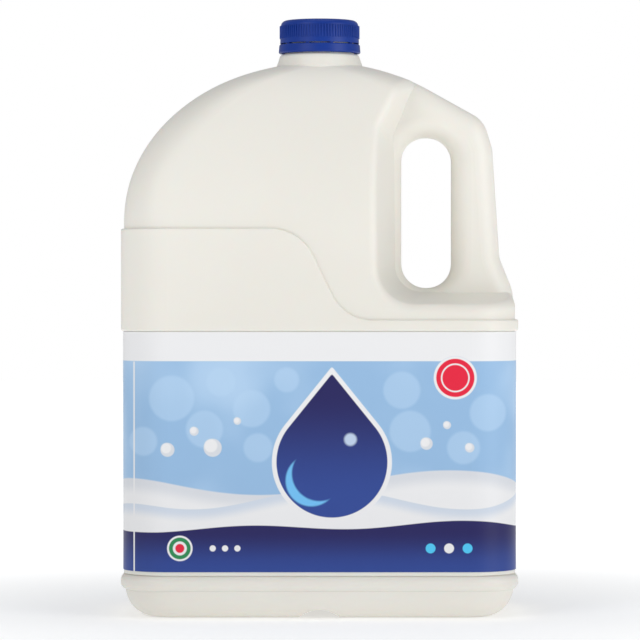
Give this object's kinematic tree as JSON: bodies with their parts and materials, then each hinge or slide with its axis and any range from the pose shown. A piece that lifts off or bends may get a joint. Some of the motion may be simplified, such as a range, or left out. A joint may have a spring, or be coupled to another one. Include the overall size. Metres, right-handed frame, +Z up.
{
  "type": "plastic milk jug",
  "caption": "Flat-sided blow-moulded milk jug with an arched shoulder, a moulded handle with a hand hole, a wrap label and a ribbed screw cap on a tamper band",
  "frame": {"origin": "centre of the base of the bounding box, on the surface it stands on", "axes": "+Z up through the neck, +X towards the handle, -Y is the front face shown, the flat faces look along Y"},
  "size_m": [0.196, 0.099, 0.295],
  "materials": {
    "jug_plastic": "cream, lightly glossy blow-moulded HDPE",
    "label_film": "thin printed film, pale blue over a dark blue band",
    "cap_plastic": "deep blue moulded plastic, satin"
  },
  "bodies": {
    "root": {"jug_body": "jug_plastic", "label": "label_film", "tamper_ring": "cap_plastic", "cap": "cap_plastic"}
  },
  "joints": []
}
